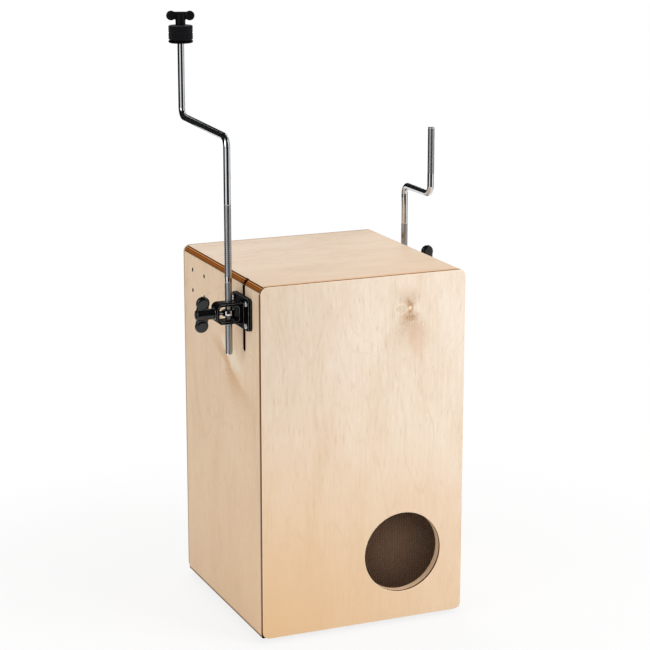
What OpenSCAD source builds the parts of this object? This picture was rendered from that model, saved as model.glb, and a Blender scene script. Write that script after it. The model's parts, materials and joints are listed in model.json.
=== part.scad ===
// Kick drum cajon: a plywood box drum with a sound port, two rod clamps, a cymbal rod and a percussion rod.
// Millimetres. +Z is up, -Y is the front, and the origin is on the floor under the middle of the box.

/* [Box] */
// Width of the box from side to side
box_w = 300; // [290:1:320]
// Depth of the box from the front plate's face to the rear plate's face
box_d = 305; // [295:1:330]
// Height of the box without its feet
box_h = 492; // [480:1:520]
// Thickness of the top, bottom and side panels
panel_t = 10; // [10:0.5:12]
// Thickness of the front and rear plates
plate_t = 4.5; // [3.5:0.5:6]
// Radius of the box's upper front-to-back edges and of its plates' corners
edge_r = 10; // [6:1:10]
// Radius of the box's lower front-to-back edges
low_edge_r = 2; // [1:0.5:4]
// Width of the square battens behind the rear plate
batten_w = 18; // [16:1:22]

/* [Feet] */
// Height of a rubber foot
foot_h = 8; // [7:1:12]
// Radius of a foot
foot_r = 13; // [11:1:16]
// Distance from a foot's axis to the box's sides
foot_inset = 48; // [40:1:60]

/* [Sound port] */
// Radius of the port
port_r = 57.5; // [50:0.5:58]
// Distance of the port's centre to the right of the middle
port_x = 59; // [50:1:62]
// Height of the port's centre above the floor
port_z = 105; // [102:1:125]
// Radial width of the wooden ring behind the port
ring_w = 18; // [14:1:19]
// Thickness of that ring
ring_t = 10; // [8:1:14]
// Distance from one mesh strand to the next
mesh_pitch = 6.6; // [6.5:0.1:9]
// Width of a mesh strand
strand_w = 1.6; // [1.2:0.1:2]

/* [Side groove] */
// Width of the groove in the left side, behind the clamp
groove_w = 9.5; // [6:0.5:10]
// Depth of the groove
groove_depth = 7; // [3:0.5:8]
// Height of the groove's lower end above the floor
groove_low = 400; // [395:1:425]

/* [Rod clamps] */
// Distance of a clamp from the middle of the box, forward on the left and back on the right
clamp_y = 91; // [80:1:95]
// Distance of the spare bracket place from the middle, back on the left and forward on the right
spare_y = 90; // [80:1:95]
// Height of a clamp's middle above the floor
clamp_z = 456; // [450:1:460]
// Distance of a rod's axis from the side panel
rod_out = 22; // [21.5:0.5:24]
// Width of the bracket's base plate, front to back
base_w = 62; // [60:1:70]
// Height of the base plate
base_h = 44; // [42:1:50]
// Bolt spacing front to back
bolt_span_y = 48; // [46:1:50]
// Bolt spacing in height
bolt_span_z = 30; // [28:1:32]
// Distance from the side panel to the end of the bracket's arm
arm_end = 42; // [42:0.5:45]
// Width of the arm, front to back
arm_w = 25; // [22:1:28]
// Height of the arm
arm_h = 27; // [26:1:30]
// Thickness of the arm's walls
arm_wall = 2.8; // [2.5:0.1:3.5]

/* [Wing nuts] */
// Distance across both lobes of a clamp's wing nut
clamp_nut_span = 52; // [46:0.5:54]
// Length of a clamp's wing nut
clamp_nut_len = 25.6; // [25:0.2:28]
// Turn of the left clamp's wing nut about its bolt at rest
left_nut_turn = -10; // [-90:1:90]
// Turn of the right clamp's wing nut about its bolt at rest
right_nut_turn = 0; // [-90:1:90]
// Distance across both lobes of the cymbal's wing nut
cymbal_nut_span = 39.6; // [36:0.2:44]
// Turn of the cymbal's wing nut about its stud at rest
cymbal_nut_turn = -23; // [-90:1:90]

/* [Rods] */
// Radius of both rods
rod_r = 4.75; // [4.5:0.25:5]
// Radius of the bends along a rod's middle
bend_r = 13; // [10:1:16]
// Height of the cymbal rod's lower end above the floor
cymbal_low = 398; // [380:1:410]
// Height of the cymbal rod's level leg
cymbal_leg_z = 691; // [680:1:720]
// Length of the cymbal rod's level leg
cymbal_leg = 212; // [180:1:215]
// Swing of that leg, from straight back towards the right
cymbal_swing = 3.3; // [-5:0.1:10]
// Height of the shoulder under the cymbal's cup washer
cymbal_top = 793; // [780:1:820]
// Height of the percussion rod's lower end above the floor
percussion_low = 399; // [380:1:410]
// Height of the percussion rod's level leg
percussion_leg_z = 575; // [570:1:600]
// Length of the percussion rod's level leg
percussion_leg = 86; // [70:1:100]
// Height of the percussion rod's upper end
percussion_top = 672; // [660:1:700]

/* [Cymbal seat] */
// Radius of the cup washer and of the felts
felt_r = 17; // [15:0.5:20]
// Thickness of one felt
felt_h = 9.75; // [8:0.25:12]
// Radius of the threaded stud
stud_r = 3; // [2.5:0.5:4]

/* [Hidden] */
$fn = 96;

// Sides and ends of the box
LEFT = -1;
RIGHT = 1;
FRONT = -1;
REAR = 1;

// Colours
birch = "#e6cfae";
batten_wood = "#d9bd90";
mesh_black = "#2a211c";
bracket_black = "#17171a";
rubber_black = "#1c1c1c";
felt_black = "#141416";
nylon_black = "#242427";
chrome = "#d5d8dc";
zinc = "#b9bcc0";

// Clearance round a pin that runs in a bore, and between faces that slide on each other
run_gap = 0.05;
// Extra length of a cutting shape past the face it opens
past = 1;

// Box
box_top = foot_h + box_h;
box_mid = foot_h + box_h / 2;
carcass_d = box_d - 2 * plate_t;
inside_h = box_h - 2 * panel_t;
inside_w = box_w - 2 * panel_t;
batten_y = carcass_d / 2 - batten_w / 2;

// Countersunk screws of the rear plate: their heads sit flush, on the battens' middle lines
screw_head_r = 3.5;
screw_head_h = 2.2;
screw_r = 1.75;
screw_len = 18;
screw_tip = 3;
screw_tip_r = 0.4;
screw_x = box_w / 2 - panel_t - batten_w / 2;
screw_dz = box_h / 2 - panel_t - batten_w / 2;
rear_screw_places = concat(
    [for (x = [-1, 0, 1], z = [-1, 1]) [x * screw_x, box_mid + z * screw_dz]],
    [for (x = [-1, 1], z = [-1 / 3, 1 / 3]) [x * screw_x, box_mid + z * screw_dz]]
);

// Cross recess of the screws and bolts
recess_w = 0.9;
recess_l = 3.6;
recess_depth = 1.2;

// Feet: a counterbore takes the pan head of the foot's screw
foot_chamfer = 1.5;
foot_bore_r = 5;
foot_seat_z = 4;
foot_screw_r = 2;
foot_screw_head_r = 4.2;
foot_screw_head_h = 2.8;
foot_screw_depth = 8;

// Mesh and its staples, behind the port's ring
mesh_t = 1;
mesh_rim = 13;
mesh_steps = ceil(port_r / mesh_pitch);
mesh_gap = mesh_pitch - strand_w;
mesh_reach = port_r - 0.75 * mesh_gap;
staple_count = 8;
staple_w = 10;
staple_leg = 7;
staple_wire = 0.8;
staple_ring_r = port_r + 8;

// Clamps: every size along x is counted outwards from the side panel
gasket_t = 2.5;
base_t = 3;
base_corner_r = 5;
base_face = gasket_t + base_t;
arm_corner_r = 7;
window_corner_r = 4;
arm_inner_h = arm_h - 2 * arm_wall;
bolt_r = 2;
bolt_hole_r = 2.25;
bolt_head_r = 4;
bolt_head_h = 2.8;
bolt_head_round = 1.4;
nut_t = 3.4;
nut_corner_r = 4.04;
nut_flange_r = 5.2;
nut_flange_t = 1;
bolt_stand_out = 1.5;
bolt_end = panel_t + nut_flange_t + nut_t + bolt_stand_out;
bush_r = 6.2;
bush_rim_r = 7.6;
bush_rim_t = 1;
eye_r = 8.3;
eye_h = 8;
eye_travel = 1.6;
eye_gap = 0.3;
window_room = 1.1;
window_start = rod_out - eye_r - eye_travel - window_room;
shank_r = 3;
shank_end = 60;
shank_hole_r = 3.4;
washer_r = 8;
washer_t = 1.2;
nut_start = arm_end + washer_t + 2 * run_gap;

// Wing nuts: lobes are round discs with a full round rim, on a web that is narrower and thinner all round
clamp_hub_r = 7.4;
clamp_lobe_r = 9.5;
clamp_lobe_t = 8;
clamp_lobe_at = clamp_nut_len - clamp_lobe_r;
clamp_nut_bore = shank_end - nut_start + 2;
hub_round = 3;
web_narrower = 1.5;
web_thinner = 1;
cymbal_hub_r = 7;
cymbal_hub_len = 17;
cymbal_lobe_r = 6.8;
cymbal_lobe_t = 6;
cymbal_lobe_at = 13.4;
cymbal_nut_bore = 13;

// Cymbal seat, from the rod's shoulder up
cup_rim_t = 3.2;
cup_t = 4.5;
cup_boss_r = felt_r - 4;
cup_chamfer = 1.2;
felt_round = 1.6;
felt_hole_r = 5.8;
sleeve_r = 5.5;
lower_felt_z = cymbal_top + cup_t;
upper_felt_z = lower_felt_z + felt_h + run_gap;
cymbal_nut_z = upper_felt_z + felt_h + run_gap;
stud_end = cymbal_nut_z + cymbal_nut_bore - 1;
rod_chamfer = 1;

// Flat rounded rectangle about its middle
module round_rect(w, h, r) {
    square([w - 2 * r, h], center = true);
    square([w, h - 2 * r], center = true);
    for (x = [-1, 1], y = [-1, 1])
        translate([x * (w / 2 - r), y * (h / 2 - r)])
            circle(r);
}

// Flat drawing in x and z, made solid by a depth along y about the middle
module along_y(depth) {
    rotate([90, 0, 0])
        linear_extrude(depth, center = true)
            children();
}

// Flat drawing in y and z, made solid by a length along +x
module along_x(length) {
    rotate([90, 0, 90])
        linear_extrude(length)
            children();
}

// The box's outline from the front
module box_outline(corner_r) {
    translate([0, box_mid])
        round_rect(box_w, box_h, corner_r);
}

// Panel that fills a part of that outline, from x and z on
module outline_panel(corner_r, x, z, w, h) {
    along_y(carcass_d)
        intersection() {
            box_outline(corner_r);
            translate([x, z])
                square([w, h]);
        }
}

// Front or rear plate before its holes
module plate(end) {
    translate([0, end * (box_d - plate_t) / 2, 0])
        along_y(plate_t)
            box_outline(edge_r);
}

// Groove down the left side, open at the top, with a round lower end
module side_groove() {
    end_z = groove_low + groove_w / 2;
    translate([-box_w / 2 - past, -clamp_y, end_z]) {
        rotate([0, 90, 0])
            cylinder(r = groove_w / 2, h = groove_depth + past);
        translate([0, -groove_w / 2, 0])
            cube([groove_depth + past, groove_w, box_top]);
    }
}

// Children at a foot: side is LEFT or RIGHT, end is FRONT or REAR
module at_foot(side, end) {
    translate([side * (box_w / 2 - foot_inset), end * (box_d / 2 - foot_inset), 0])
        children();
}

// Children at all four feet
module at_feet() {
    for (side = [LEFT, RIGHT], end = [FRONT, REAR])
        at_foot(side, end)
            children();
}

// Children at each rear screw, with local +z out of the rear plate's face
module at_rear_screws() {
    for (place = rear_screw_places)
        translate([place[0], box_d / 2, place[1]])
            rotate([-90, 0, 0])
                children();
}

// Countersunk screw's envelope below z = 0, larger by a gap for the hole it sits in
module countersunk(gap) {
    translate([0, 0, -screw_head_h])
        cylinder(h = screw_head_h, r1 = screw_r + gap, r2 = screw_head_r + gap);
    translate([0, 0, screw_tip - screw_len])
        cylinder(h = screw_len - screw_tip, r = screw_r + gap);
    translate([0, 0, -screw_len - gap])
        cylinder(h = screw_tip + gap, r1 = screw_tip_r + gap, r2 = screw_r + gap);
}

// Cross recess sunk into a face at z = 0
module cross_recess() {
    for (turn = [0, 90])
        rotate(turn)
            translate([-recess_l / 2, -recess_w / 2, -recess_depth])
                cube([recess_l, recess_w, recess_depth + past]);
}

// Children in the port's frame: local +z goes into the box from the front plate's inner face
module in_port() {
    translate([port_x, plate_t - box_d / 2, port_z])
        rotate([-90, 0, 0])
            children();
}

// Legs of the staples, which the mesh and the ring are pierced for
module staple_legs() {
    for (turn = [0 : 360 / staple_count : 359], end = [-1, 1])
        rotate(turn)
            translate([staple_ring_r, end * (staple_w - staple_wire) / 2, ring_t + mesh_t - staple_leg / 2])
                cube([staple_wire, staple_wire, staple_leg], center = true);
}

// Children in a clamp's frame: local +x goes outwards from the side panel's face
module at_clamp(side) {
    translate([side * box_w / 2, side * clamp_y, clamp_z])
        rotate(side == LEFT ? 180 : 0)
            children();
}

// Children at the four bolts of a bracket
module at_bolts() {
    for (y = [-1, 1], z = [-1, 1])
        translate([0, y * bolt_span_y / 2, z * bolt_span_z / 2])
            children();
}

// Bolt holes along x, long enough for the panel, the gasket and the base plate
module bolt_holes() {
    at_bolts()
        rotate([0, 90, 0])
            cylinder(r = bolt_hole_r, h = 4 * panel_t, center = true);
}

// Side panel with the holes of its bracket and of the spare bracket place
module side_panel(side) {
    start_x = side == LEFT ? -box_w / 2 : inside_w / 2;
    difference() {
        outline_panel(low_edge_r, start_x, foot_h, panel_t, box_h - panel_t);
        for (y = [clamp_y, -spare_y])
            translate([side * box_w / 2, side * y, clamp_z])
                bolt_holes();
    }
}

// Level batten behind the rear plate's top or bottom edge
module level_batten(z) {
    color(batten_wood)
        difference() {
            translate([0, batten_y, z])
                cube([inside_w, batten_w, batten_w], center = true);
            at_rear_screws()
                countersunk(run_gap);
        }
}

// Upright batten behind the rear plate's left or right edge
module upright_batten(side) {
    color(batten_wood)
        difference() {
            translate([side * screw_x, batten_y, box_mid])
                cube([batten_w, batten_w, inside_h - 2 * batten_w], center = true);
            at_rear_screws()
                countersunk(run_gap);
        }
}

// Rubber foot with a counterbored screw hole
module foot(side, end) {
    color(rubber_black)
        at_foot(side, end)
            rotate_extrude()
                polygon([
                    [foot_bore_r, 0], [foot_r - foot_chamfer, 0], [foot_r, foot_chamfer], [foot_r, foot_h],
                    [foot_screw_r + run_gap, foot_h], [foot_screw_r + run_gap, foot_seat_z],
                    [foot_bore_r, foot_seat_z]
                ]);
}

// Rubber sheet between a bracket and the side panel
module gasket(side) {
    color(rubber_black)
        at_clamp(side)
            difference() {
                along_x(gasket_t)
                    round_rect(base_w, base_h, base_corner_r);
                bolt_holes();
            }
}

// Outline of a bracket's arm in x and z: a loop with round outer corners and a window
module arm_outline() {
    difference() {
        union() {
            translate([base_face - base_t / 2, -arm_h / 2])
                square([arm_end - arm_corner_r - base_face + base_t / 2, arm_h]);
            translate([base_face, arm_corner_r - arm_h / 2])
                square([arm_end - base_face, arm_h - 2 * arm_corner_r]);
            for (z = [-1, 1])
                translate([arm_end - arm_corner_r, z * (arm_h / 2 - arm_corner_r)])
                    circle(arm_corner_r);
        }
        translate([(window_start + arm_end - arm_wall) / 2, 0])
            round_rect(arm_end - arm_wall - window_start, arm_inner_h, window_corner_r);
    }
}

// Cast bracket: base plate and arm, with the rod's holes and the eye bolt's hole
module bracket(side) {
    color(bracket_black)
        at_clamp(side)
            difference() {
                union() {
                    translate([gasket_t, 0, 0])
                        along_x(base_t)
                            round_rect(base_w, base_h, base_corner_r);
                    along_y(arm_w)
                        arm_outline();
                }
                bolt_holes();
                translate([rod_out, 0, 0])
                    cylinder(r = bush_r + run_gap, h = 2 * arm_h, center = true);
                translate([window_start + arm_wall, 0, 0])
                    rotate([0, 90, 0])
                        cylinder(r = shank_hole_r, h = arm_end);
            }
}

// Bolts of a bracket: round heads outside, plain shanks through to the nuts
module bracket_bolts(side) {
    color(zinc)
        at_clamp(side)
            at_bolts() {
                difference() {
                    translate([base_face, 0, 0])
                        rotate([0, 90, 0])
                            rotate_extrude()
                                hub_profile(bolt_head_r, bolt_head_h, bolt_head_round);
                    translate([base_face + bolt_head_h, 0, 0])
                        rotate([0, 90, 0])
                            cross_recess();
                }
                translate([-bolt_end, 0, 0])
                    rotate([0, 90, 0])
                        cylinder(r = bolt_r, h = bolt_end + base_face);
            }
}

// Flanged nuts inside the box
module bracket_nuts(side) {
    color(zinc)
        at_clamp(side)
            at_bolts()
                translate([-panel_t, 0, 0])
                    rotate([0, -90, 0])
                        difference() {
                            union() {
                                cylinder(r = nut_flange_r, h = nut_flange_t);
                                cylinder(r = nut_corner_r, h = nut_flange_t + nut_t, $fn = 6);
                            }
                            translate([0, 0, -past])
                                cylinder(r = bolt_r + run_gap, h = nut_flange_t + nut_t + 2 * past);
                        }
}

// Slot outline with round ends, from x = 0 to a travel
module slot_outline(r, travel) {
    circle(r);
    translate([travel, 0])
        circle(r);
    translate([0, -r])
        square([travel, 2 * r]);
}

// Eye bolt: a slotted eye round the rod, and a shank through the arm's end wall
module eye_bolt(side) {
    color(chrome)
        at_clamp(side)
            difference() {
                union() {
                    translate([rod_out, 0, 0])
                        linear_extrude(eye_h, center = true)
                            slot_outline(eye_r, eye_travel);
                    translate([rod_out + rod_r + eye_travel, 0, 0])
                        rotate([0, 90, 0])
                            cylinder(r = shank_r, h = shank_end - rod_out - rod_r - eye_travel);
                }
                translate([rod_out, 0, 0])
                    linear_extrude(2 * eye_h, center = true)
                        slot_outline(rod_r + eye_gap, eye_travel);
            }
}

// Rimmed bushes in the arm's two rod holes
module rod_bushes(side) {
    color(nylon_black)
        at_clamp(side)
            translate([rod_out, 0, 0])
                for (turn = [0, 180])
                    rotate([turn, 0, 0])
                        rotate_extrude()
                            polygon([
                                [rod_r + run_gap, arm_inner_h / 2], [bush_r, arm_inner_h / 2],
                                [bush_r, arm_h / 2 + run_gap], [bush_rim_r, arm_h / 2 + run_gap],
                                [bush_rim_r, arm_h / 2 + bush_rim_t],
                                [rod_r + run_gap, arm_h / 2 + bush_rim_t]
                            ]);
}

// Washer between the arm's end and the wing nut
module wing_washer(side) {
    color(zinc)
        at_clamp(side)
            translate([arm_end, 0, 0])
                rotate([0, 90, 0])
                    difference() {
                        cylinder(r = washer_r, h = washer_t);
                        translate([0, 0, -past])
                            cylinder(r = shank_hole_r, h = washer_t + 2 * past);
                    }
}

// Half section of a hub with a rounded end edge
module hub_profile(r, len, round) {
    square([r, len - round]);
    square([r - round, len]);
    translate([r - round, len - round])
        circle(round);
}

// Half section of a lobe: a disc with a full round rim
module lobe_profile(r, t) {
    translate([0, -t / 2])
        square([r - t / 2, t]);
    translate([r - t / 2, 0])
        circle(t / 2);
}

// Wing nut along +z, with its lobes on a web to both sides along x, and a blind bore
module wing_nut(hub_r, hub_len, span, lobe_r, lobe_t, lobe_at, bore_r, bore_len) {
    difference() {
        union() {
            rotate_extrude()
                hub_profile(hub_r, hub_len, hub_round);
            for (x = [-1, 1])
                translate([x * (span / 2 - lobe_r), 0, lobe_at])
                    rotate([90, 0, 0])
                        rotate_extrude()
                            lobe_profile(lobe_r, lobe_t);
            translate([0, 0, lobe_at])
                cube(
                    [span - 2 * lobe_r, lobe_t - 2 * web_thinner, 2 * (lobe_r - web_narrower)],
                    center = true
                );
        }
        translate([0, 0, -past])
            cylinder(r = bore_r, h = bore_len + past);
    }
}

// Wing nut of a clamp
module clamp_wing_nut(side) {
    color(bracket_black)
        at_clamp(side)
            translate([nut_start, 0, 0])
                rotate([0, 90, 0])
                    rotate(side == LEFT ? left_nut_turn : right_nut_turn)
                        wing_nut(
                            clamp_hub_r, clamp_nut_len, clamp_nut_span, clamp_lobe_r, clamp_lobe_t,
                            clamp_lobe_at, shank_r + run_gap, clamp_nut_bore
                        );
}

// Quarter bend in y and z about its own centre, from a start angle
module bend(start) {
    rotate([90, 0, 90])
        rotate(start)
            rotate_extrude(angle = 90)
                translate([bend_r, 0])
                    circle(rod_r);
}

// Cranked rod about its lower leg's axis, with its level leg along +y
module cranked_rod(low, leg_z, leg, top) {
    translate([0, 0, low])
        cylinder(r1 = rod_r - rod_chamfer, r2 = rod_r, h = rod_chamfer);
    translate([0, 0, low + rod_chamfer])
        cylinder(r = rod_r, h = leg_z - bend_r - low - rod_chamfer);
    translate([0, bend_r, leg_z - bend_r])
        bend(90);
    translate([0, bend_r, leg_z])
        rotate([-90, 0, 0])
            cylinder(r = rod_r, h = leg - 2 * bend_r);
    translate([0, leg - bend_r, leg_z + bend_r])
        bend(270);
    translate([0, leg, leg_z + bend_r])
        cylinder(r = rod_r, h = top - rod_chamfer - leg_z - bend_r);
    translate([0, leg, top - rod_chamfer])
        cylinder(r1 = rod_r, r2 = rod_r - rod_chamfer, h = rod_chamfer);
}

// Children about the cymbal rod's lower leg, turned to its swing at rest
module at_cymbal_rod() {
    translate([-box_w / 2 - rod_out, -clamp_y, 0])
        rotate(-cymbal_swing)
            children();
}

// Children on the cymbal rod's stud, at a height above the floor
module on_stud(z) {
    at_cymbal_rod()
        translate([0, cymbal_leg, z])
            children();
}

// Felt disc with round edges
module felt(z) {
    color(felt_black)
        on_stud(z)
            rotate_extrude()
                difference() {
                    translate([0, felt_h / 2])
                        round_rect(2 * felt_r, felt_h, felt_round);
                    translate([-2 * felt_r, -past])
                        square([2 * felt_r + felt_hole_r, felt_h + 2 * past]);
                }
}

module top_panel() {
    color(birch)
        difference() {
            outline_panel(edge_r, -box_w / 2, box_top - panel_t, box_w, panel_t);
            side_groove();
        }
}

// Bottom panel between the side panels
module bottom_panel() {
    color(birch)
        difference() {
            translate([0, 0, foot_h + panel_t / 2])
                cube([inside_w, carcass_d, panel_t], center = true);
            at_feet()
                cylinder(r = foot_screw_r + run_gap, h = foot_h + foot_screw_depth + run_gap);
        }
}

module left_side_panel() {
    color(birch)
        difference() {
            side_panel(LEFT);
            side_groove();
        }
}

module right_side_panel() {
    color(birch)
        side_panel(RIGHT);
}

module front_plate() {
    color(birch)
        difference() {
            plate(FRONT);
            in_port()
                cylinder(r = port_r, h = 4 * plate_t, center = true);
        }
}

module rear_plate() {
    color(birch)
        difference() {
            plate(REAR);
            at_rear_screws()
                countersunk(run_gap);
        }
}

module rear_top_batten() {
    level_batten(box_mid + screw_dz);
}

module rear_bottom_batten() {
    level_batten(box_mid - screw_dz);
}

module rear_left_batten() {
    upright_batten(LEFT);
}

module rear_right_batten() {
    upright_batten(RIGHT);
}

module rear_plate_screws() {
    color(zinc)
        at_rear_screws()
            difference() {
                countersunk(0);
                cross_recess();
            }
}

module port_ring() {
    color(batten_wood)
        in_port()
            difference() {
                cylinder(r = port_r + ring_w, h = ring_t);
                translate([0, 0, -past])
                    cylinder(r = port_r, h = ring_t + 2 * past);
                staple_legs();
            }
}

// Mesh with square gaps over the port and a plain rim on the ring
module port_mesh() {
    color(mesh_black)
        in_port()
            difference() {
                translate([0, 0, ring_t])
                    linear_extrude(mesh_t)
                        difference() {
                            circle(port_r + mesh_rim);
                            for (i = [-mesh_steps : mesh_steps], j = [-mesh_steps : mesh_steps])
                                if (norm([i, j]) * mesh_pitch < mesh_reach)
                                    translate([i, j] * mesh_pitch)
                                        square(mesh_gap, center = true);
                        }
                staple_legs();
            }
}

module mesh_staples() {
    color(zinc)
        in_port() {
            staple_legs();
            for (turn = [0 : 360 / staple_count : 359])
                rotate(turn)
                    translate([staple_ring_r, 0, ring_t + mesh_t + staple_wire / 2])
                        cube([staple_wire, staple_w, staple_wire], center = true);
        }
}

module front_left_foot() {
    foot(LEFT, FRONT);
}

module front_right_foot() {
    foot(RIGHT, FRONT);
}

module rear_left_foot() {
    foot(LEFT, REAR);
}

module rear_right_foot() {
    foot(RIGHT, REAR);
}

module foot_screws() {
    color(zinc)
        at_feet() {
            difference() {
                translate([0, 0, foot_seat_z])
                    rotate([180, 0, 0])
                        rotate_extrude()
                            hub_profile(foot_screw_head_r, foot_screw_head_h, bolt_head_round);
                translate([0, 0, foot_seat_z - foot_screw_head_h])
                    rotate([180, 0, 0])
                        cross_recess();
            }
            translate([0, 0, foot_seat_z])
                cylinder(r = foot_screw_r, h = foot_h + foot_screw_depth - foot_seat_z);
        }
}

module cymbal_rod() {
    color(chrome)
        at_cymbal_rod() {
            cranked_rod(cymbal_low, cymbal_leg_z, cymbal_leg, cymbal_top);
            translate([0, cymbal_leg, cymbal_top - rod_chamfer])
                cylinder(r = stud_r, h = stud_end - cymbal_top + rod_chamfer);
        }
}

// Washer under the lower felt, with a boss that lifts the felt off its rim
module cymbal_cup_washer() {
    color(bracket_black)
        on_stud(cymbal_top)
            rotate_extrude()
                polygon([
                    [stud_r + run_gap, 0], [felt_r - cup_chamfer, 0], [felt_r, cup_chamfer],
                    [felt_r, cup_rim_t], [cup_boss_r, cup_rim_t], [cup_boss_r, cup_t],
                    [stud_r + run_gap, cup_t]
                ]);
}

module lower_felt() {
    felt(lower_felt_z);
}

module upper_felt() {
    felt(upper_felt_z);
}

// Plastic sleeve on the stud, which keeps a cymbal off the thread
module cymbal_sleeve() {
    color(nylon_black)
        on_stud(lower_felt_z)
            difference() {
                cylinder(r = sleeve_r, h = 2 * felt_h - past);
                translate([0, 0, -past])
                    cylinder(r = stud_r + run_gap, h = 2 * felt_h + 2 * past);
            }
}

module cymbal_wing_nut() {
    color(bracket_black)
        on_stud(cymbal_nut_z)
            rotate(cymbal_swing + cymbal_nut_turn)
                wing_nut(
                    cymbal_hub_r, cymbal_hub_len, cymbal_nut_span, cymbal_lobe_r, cymbal_lobe_t,
                    cymbal_lobe_at, stud_r + run_gap, cymbal_nut_bore
                );
}

module percussion_rod() {
    color(chrome)
        translate([box_w / 2 + rod_out, clamp_y, 0])
            rotate(180)
                cranked_rod(percussion_low, percussion_leg_z, percussion_leg, percussion_top);
}

top_panel();
bottom_panel();
left_side_panel();
right_side_panel();
front_plate();
rear_plate();
rear_top_batten();
rear_bottom_batten();
rear_left_batten();
rear_right_batten();
rear_plate_screws();
port_ring();
port_mesh();
mesh_staples();
front_left_foot();
front_right_foot();
rear_left_foot();
rear_right_foot();
foot_screws();
gasket(LEFT);  // left_gasket
bracket(LEFT);  // left_bracket
bracket_bolts(LEFT);  // left_bracket_bolts
bracket_nuts(LEFT);  // left_bracket_nuts
eye_bolt(LEFT);  // left_eye_bolt
rod_bushes(LEFT);  // left_rod_bushes
wing_washer(LEFT);  // left_wing_washer
clamp_wing_nut(LEFT);  // left_wing_nut
gasket(RIGHT);  // right_gasket
bracket(RIGHT);  // right_bracket
bracket_bolts(RIGHT);  // right_bracket_bolts
bracket_nuts(RIGHT);  // right_bracket_nuts
eye_bolt(RIGHT);  // right_eye_bolt
rod_bushes(RIGHT);  // right_rod_bushes
wing_washer(RIGHT);  // right_wing_washer
clamp_wing_nut(RIGHT);  // right_wing_nut
cymbal_rod();
cymbal_cup_washer();
lower_felt();
upper_felt();
cymbal_sleeve();
cymbal_wing_nut();
percussion_rod();
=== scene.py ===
"""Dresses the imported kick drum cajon: plywood box, meshed sound port, rod clamps, rods and cymbal seat."""

import json
import logging
import math
from dataclasses import dataclass, field
from enum import Enum
from typing import Any, Dict, Iterable, Iterator, List, NamedTuple, Optional, Sequence, Tuple, Union

import bpy
from mathutils import Euler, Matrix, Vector, noise


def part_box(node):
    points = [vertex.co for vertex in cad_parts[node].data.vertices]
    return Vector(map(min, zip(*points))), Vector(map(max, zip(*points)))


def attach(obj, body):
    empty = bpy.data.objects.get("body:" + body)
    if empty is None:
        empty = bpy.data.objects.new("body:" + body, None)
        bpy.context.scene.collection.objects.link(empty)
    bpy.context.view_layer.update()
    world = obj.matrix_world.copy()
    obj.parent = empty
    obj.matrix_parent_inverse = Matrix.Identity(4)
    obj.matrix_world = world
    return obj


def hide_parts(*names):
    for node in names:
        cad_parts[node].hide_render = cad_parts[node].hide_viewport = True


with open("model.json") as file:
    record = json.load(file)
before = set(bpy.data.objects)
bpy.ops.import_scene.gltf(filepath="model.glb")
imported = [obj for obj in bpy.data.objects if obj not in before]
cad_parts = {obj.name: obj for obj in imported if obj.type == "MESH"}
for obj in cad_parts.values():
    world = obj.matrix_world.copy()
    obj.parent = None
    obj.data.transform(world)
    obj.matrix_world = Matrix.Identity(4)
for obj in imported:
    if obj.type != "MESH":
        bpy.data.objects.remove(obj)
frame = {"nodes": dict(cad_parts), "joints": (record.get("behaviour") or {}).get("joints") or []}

LOG = logging.getLogger("cajon")
MM = 0.001
UP = Vector((0, 0, 1))
WELD_GAP = 1e-6
FLAT_ANGLE = math.radians(0.4)
SHARP_ANGLE = math.radians(40)
STAPLE_EDGE = 0.1 * MM
BOLT_EDGE = 0.12 * MM
THIN_EDGE = 0.2 * MM
SOFT_EDGE = 0.4 * MM
SEEING_RAYS = ("Camera", "Glossy", "Transmission")

Rgb = Tuple[int, int, int]
Tones = Tuple[Rgb, Rgb, Rgb]
Layers = Tuple[Tuple[float, Rgb, float], ...]
Pair = Tuple[float, float]
Point = Tuple[float, float, float]
Ring = List[Point]
Value = Union["Signal", float]
Paint = Union["Signal", Rgb]

WHITE = (255, 255, 255)
FACE_WOOD = (241, 221, 199)
BLUSH = (236, 200, 174)
GROWTH_LINE = (204, 172, 138)
DARK_FLECK = (190, 154, 118)
PALE_FLECK = (253, 242, 228)
GREY_SHADE = (196, 168, 138)
HONEY_SHADE = (235, 196, 150)
AMBER_SHADE = (230, 193, 150)
CUT_FIBRE = (90, 50, 26)
# Near-black painted shade inside the groove where it cuts the top's rounded end.
PAINTED_GROOVE_SHADE = (40, 18, 8)
# Dark brown painted shade round the spare holes.
PAINTED_HOLE_SHADE = (34, 16, 4)
KNOT_SIDE = (255, 240, 216)
KNOT_TAIL = (226, 186, 158)
KNOT_CORE = (172, 126, 80)
KNOT_SCAR = (208, 186, 158)
KNOT_RIM = (253, 240, 218)
KNOT_EYE = (255, 226, 188)
DUST = (92, 90, 88)


def linear(rgb: Rgb, alpha: float = 1.0) -> Tuple[float, ...]:
    """Turns a colour as seen on a screen, from 0 to 255, into the shader's linear one with an alpha."""
    parts = [c / 255 for c in rgb]
    return (*(c / 12.92 if c <= 0.04045 else ((c + 0.055) / 1.055) ** 2.4 for c in parts), alpha)


class Axis(Enum):
    """Directions of the shared frame."""

    X = 0
    Y = 1
    Z = 2

    def third(self, second: "Axis") -> "Axis":
        """Gives the direction that is neither this one nor the second."""
        return next(axis for axis in Axis if axis not in (self, second))


class Side(Enum):
    """Sides of the box, as seen from in front."""

    LEFT = -1
    RIGHT = 1

    def node(self, piece: str) -> str:
        """Names this side's one of a pair of pieces."""
        return f"{self.name.lower()}_{piece}"


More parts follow.
